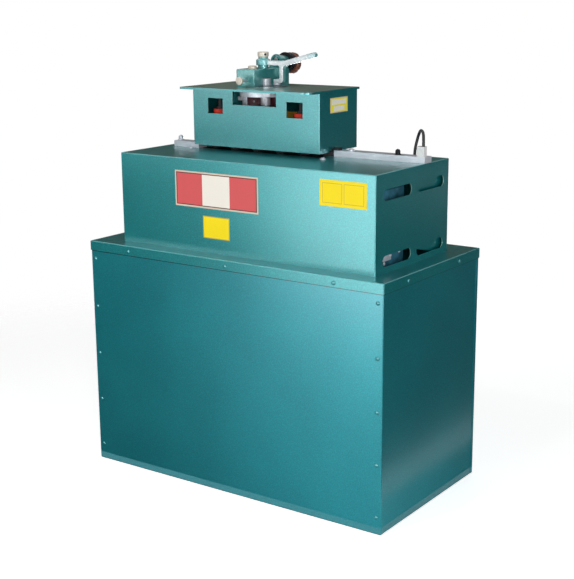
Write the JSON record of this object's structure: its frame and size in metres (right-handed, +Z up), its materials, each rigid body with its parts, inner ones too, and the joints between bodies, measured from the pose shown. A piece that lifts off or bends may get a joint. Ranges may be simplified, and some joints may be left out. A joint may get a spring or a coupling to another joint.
{
  "type": "pittsburgh lock roll forming machine",
  "caption": "Floor-standing roll former for sheet-metal duct edges: sheet-metal stand, guarded geared roll train, slotted head box, power flanging head with swing lever.",
  "frame": {"origin": "middle of the stand's base, on the floor", "axes": "+X along the machine, from the exit end to the entry end with the switch; -Y towards the operator; +Z up"},
  "size_m": [1.0104, 0.5344, 1.219],
  "materials": {
    "teal_paint": "glossy hammertone enamel",
    "frame_steel": "dark primer",
    "screw_paint": "glossy enamel over hex heads",
    "machined_steel": "ground",
    "gear_steel": "oiled, as cut",
    "bright_steel": "polished",
    "lever_steel": "cast and polished on the arm, painted on the hub",
    "guide_aluminium": "satin",
    "cast_grey": "painted dark grey",
    "maroon_paint": "gloss enamel",
    "yellow_zinc": "yellow zinc plating",
    "black_oxide": "black oxide",
    "red_urethane": "moulded",
    "belt_rubber": "fabric-backed",
    "brown_phenolic": "moulded",
    "nickel": "satin nickel",
    "black_plastic": "moulded",
    "white_plastic": "moulded",
    "lead_sheath": "smooth sheath"
  },
  "bodies": {
    "machine": {"bed_plate": "machined_steel", "cabinet_screws": "screw_paint", "cushion_springs": "red_urethane", "drum_switch": "cast_grey", "entry_guide": "guide_aluminium", "entry_shoe": "black_plastic", "exit_guide": "guide_aluminium", "flanger_body": "teal_paint", "flanger_gearcase": "maroon_paint", "front_bearing_plate": "machined_steel", "gearcase_bracket": "yellow_zinc", "guard_baffles": "teal_paint", "guide_bolts": "machined_steel", "head_guard": "teal_paint", "lead_gland": "black_plastic", "limit_switch": "white_plastic", "main_guard": "teal_paint", "motor_housing": "cast_grey", "oil_plug": "nickel", "pivot_stud": "nickel", "plate_spacers": "machined_steel", "rear_bearing_plate": "machined_steel", "reducer_housing": "cast_grey", "stand_back_panel": "teal_paint", "stand_end_panels": "teal_paint", "stand_frame": "frame_steel", "stand_front_panel": "teal_paint", "stand_lid": "teal_paint", "switch_lead": "lead_sheath", "table_plate": "teal_paint", "table_studs": "black_oxide", "tension_spring": "black_oxide", "top_plate": "teal_paint", "v_belt": "belt_rubber", "wear_disc": "bright_steel"},
    "lower_spindle_1": {"lower_spindle_1": "gear_steel"},
    "lower_spindle_2": {"lower_spindle_2": "gear_steel"},
    "lower_spindle_3": {"lower_spindle_3": "gear_steel"},
    "lower_spindle_4": {"lower_spindle_4": "gear_steel"},
    "lower_spindle_5": {"lower_spindle_5": "gear_steel"},
    "upper_spindle_1": {"upper_spindle_1": "gear_steel"},
    "upper_spindle_2": {"upper_spindle_2": "gear_steel"},
    "upper_spindle_3": {"upper_spindle_3": "gear_steel"},
    "upper_spindle_4": {"upper_spindle_4": "gear_steel"},
    "upper_spindle_5": {"upper_spindle_5": "gear_steel"},
    "idler_gear_1": {"idler_gear_1": "gear_steel"},
    "idler_gear_2": {"idler_gear_2": "gear_steel"},
    "idler_gear_3": {"idler_gear_3": "gear_steel"},
    "idler_gear_4": {"idler_gear_4": "gear_steel"},
    "drive_gear": {"drive_gear": "gear_steel"},
    "reducer_pulley": {"reducer_pulley": "machined_steel"},
    "motor_pulley": {"motor_pulley": "machined_steel"},
    "flanger_idler": {"flanger_idler": "gear_steel"},
    "flanger_input_gear": {"flanger_input_gear": "gear_steel"},
    "flanger_spindle": {"flanger_spindle": "bright_steel"},
    "flanger_lever": {"flanger_lever": "lever_steel"},
    "foot_roller": {"foot_roller": "bright_steel"},
    "tension_knob": {"tension_knob": "brown_phenolic"},
    "thumb_screw": {"thumb_screw": "nickel"},
    "drum_handle": {"drum_handle": "black_plastic"}
  },
  "joints": [
    {"name": "motor_turn", "type": "hinge", "parent": "machine", "child": "motor_pulley", "pos_m": [-0.1245, -0.01, 0.36], "axis": [1, 0, 0], "continuous": true},
    {"name": "worm_turn", "type": "hinge", "parent": "machine", "child": "reducer_pulley", "pos_m": [-0.1245, -0.01, 0.7465], "axis": [1, 0, 0], "continuous": true},
    {"name": "drive_gear_turn", "type": "hinge", "parent": "machine", "child": "drive_gear", "pos_m": [-0.0365, 0.11, 0.8085], "axis": [0, 1, 0], "continuous": true},
    {"name": "idler_gear_1_turn", "type": "hinge", "parent": "machine", "child": "idler_gear_1", "pos_m": [-0.1965, 0.11, 0.876], "axis": [0, 1, 0], "continuous": true},
    {"name": "idler_gear_2_turn", "type": "hinge", "parent": "machine", "child": "idler_gear_2", "pos_m": [-0.1165, 0.11, 0.876], "axis": [0, 1, 0], "continuous": true},
    {"name": "idler_gear_3_turn", "type": "hinge", "parent": "machine", "child": "idler_gear_3", "pos_m": [-0.0365, 0.11, 0.876], "axis": [0, 1, 0], "continuous": true},
    {"name": "idler_gear_4_turn", "type": "hinge", "parent": "machine", "child": "idler_gear_4", "pos_m": [0.0435, 0.11, 0.876], "axis": [0, 1, 0], "continuous": true},
    {"name": "lower_spindle_1_turn", "type": "hinge", "parent": "machine", "child": "lower_spindle_1", "pos_m": [-0.2365, 0.11, 0.91], "axis": [0, 1, 0], "continuous": true},
    {"name": "upper_spindle_1_turn", "type": "hinge", "parent": "machine", "child": "upper_spindle_1", "pos_m": [-0.2365, 0.11, 0.97], "axis": [0, 1, 0], "continuous": true},
    {"name": "lower_spindle_2_turn", "type": "hinge", "parent": "machine", "child": "lower_spindle_2", "pos_m": [-0.1565, 0.11, 0.91], "axis": [0, 1, 0], "continuous": true},
    {"name": "upper_spindle_2_turn", "type": "hinge", "parent": "machine", "child": "upper_spindle_2", "pos_m": [-0.1565, 0.11, 0.97], "axis": [0, 1, 0], "continuous": true},
    {"name": "lower_spindle_3_turn", "type": "hinge", "parent": "machine", "child": "lower_spindle_3", "pos_m": [-0.0765, 0.11, 0.91], "axis": [0, 1, 0], "continuous": true},
    {"name": "upper_spindle_3_turn", "type": "hinge", "parent": "machine", "child": "upper_spindle_3", "pos_m": [-0.0765, 0.11, 0.97], "axis": [0, 1, 0], "continuous": true},
    {"name": "lower_spindle_4_turn", "type": "hinge", "parent": "machine", "child": "lower_spindle_4", "pos_m": [0.0035, 0.11, 0.91], "axis": [0, 1, 0], "continuous": true},
    {"name": "upper_spindle_4_turn", "type": "hinge", "parent": "machine", "child": "upper_spindle_4", "pos_m": [0.0035, 0.11, 0.97], "axis": [0, 1, 0], "continuous": true},
    {"name": "lower_spindle_5_turn", "type": "hinge", "parent": "machine", "child": "lower_spindle_5", "pos_m": [0.0835, 0.11, 0.91], "axis": [0, 1, 0], "continuous": true},
    {"name": "upper_spindle_5_turn", "type": "hinge", "parent": "machine", "child": "upper_spindle_5", "pos_m": [0.0835, 0.11, 0.97], "axis": [0, 1, 0], "continuous": true},
    {"name": "flanger_idler_turn", "type": "hinge", "parent": "machine", "child": "flanger_idler", "pos_m": [-0.06047, 0.11, 1.01999], "axis": [0, 1, 0], "continuous": true},
    {"name": "flanger_input_turn", "type": "hinge", "parent": "machine", "child": "flanger_input_gear", "pos_m": [-0.094, 0.11, 1.05], "axis": [0, 1, 0], "continuous": true},
    {"name": "flanger_spindle_turn", "type": "hinge", "parent": "machine", "child": "flanger_spindle", "pos_m": [-0.094, 0.061, 1.1225], "axis": [0, 0, 1], "continuous": true},
    {"name": "lever_swing", "type": "hinge", "parent": "machine", "child": "flanger_lever", "pos_m": [-0.108, 0.071, 1.1793], "axis": [0, 0, 1], "range_deg": [-10, 20]},
    {"name": "foot_roller_turn", "type": "hinge", "parent": "flanger_lever", "child": "foot_roller", "pos_m": [-0.061, 0.072, 1.1225], "axis": [0, 0, 1], "continuous": true},
    {"name": "tension_knob_turn", "type": "hinge", "parent": "machine", "child": "tension_knob", "pos_m": [-0.0975, 0.118, 1.191], "axis": [0, 0.9903, -0.1392], "range_deg": [-180, 180]},
    {"name": "thumb_screw_turn", "type": "hinge", "parent": "machine", "child": "thumb_screw", "pos_m": [-0.119, 0.002, 1.14], "axis": [0, 1, 0], "range_deg": [-180, 180]},
    {"name": "drum_handle_turn", "type": "hinge", "parent": "machine", "child": "drum_handle", "pos_m": [-0.46, -0.015, 0.796], "axis": [0, 0, 1], "range_deg": [-45, 45]}
  ],
  "couplings": [
    {"joint": "worm_turn", "follows": "motor_turn", "ratio": 0.46714},
    {"joint": "drive_gear_turn", "follows": "motor_turn", "ratio": 0.018686},
    {"joint": "idler_gear_1_turn", "follows": "motor_turn", "ratio": -0.037371},
    {"joint": "idler_gear_2_turn", "follows": "motor_turn", "ratio": -0.037371},
    {"joint": "idler_gear_3_turn", "follows": "motor_turn", "ratio": -0.037371},
    {"joint": "idler_gear_4_turn", "follows": "motor_turn", "ratio": -0.037371},
    {"joint": "lower_spindle_1_turn", "follows": "motor_turn", "ratio": 0.028028},
    {"joint": "upper_spindle_1_turn", "follows": "motor_turn", "ratio": -0.028028},
    {"joint": "lower_spindle_2_turn", "follows": "motor_turn", "ratio": 0.028028},
    {"joint": "upper_spindle_2_turn", "follows": "motor_turn", "ratio": -0.028028},
    {"joint": "lower_spindle_3_turn", "follows": "motor_turn", "ratio": 0.028028},
    {"joint": "upper_spindle_3_turn", "follows": "motor_turn", "ratio": -0.028028},
    {"joint": "lower_spindle_4_turn", "follows": "motor_turn", "ratio": 0.028028},
    {"joint": "upper_spindle_4_turn", "follows": "motor_turn", "ratio": -0.028028},
    {"joint": "lower_spindle_5_turn", "follows": "motor_turn", "ratio": 0.028028},
    {"joint": "upper_spindle_5_turn", "follows": "motor_turn", "ratio": -0.028028},
    {"joint": "flanger_idler_turn", "follows": "motor_turn", "ratio": 0.037371},
    {"joint": "flanger_input_turn", "follows": "motor_turn", "ratio": -0.037371},
    {"joint": "flanger_spindle_turn", "follows": "motor_turn", "ratio": -0.037371}
  ]
}
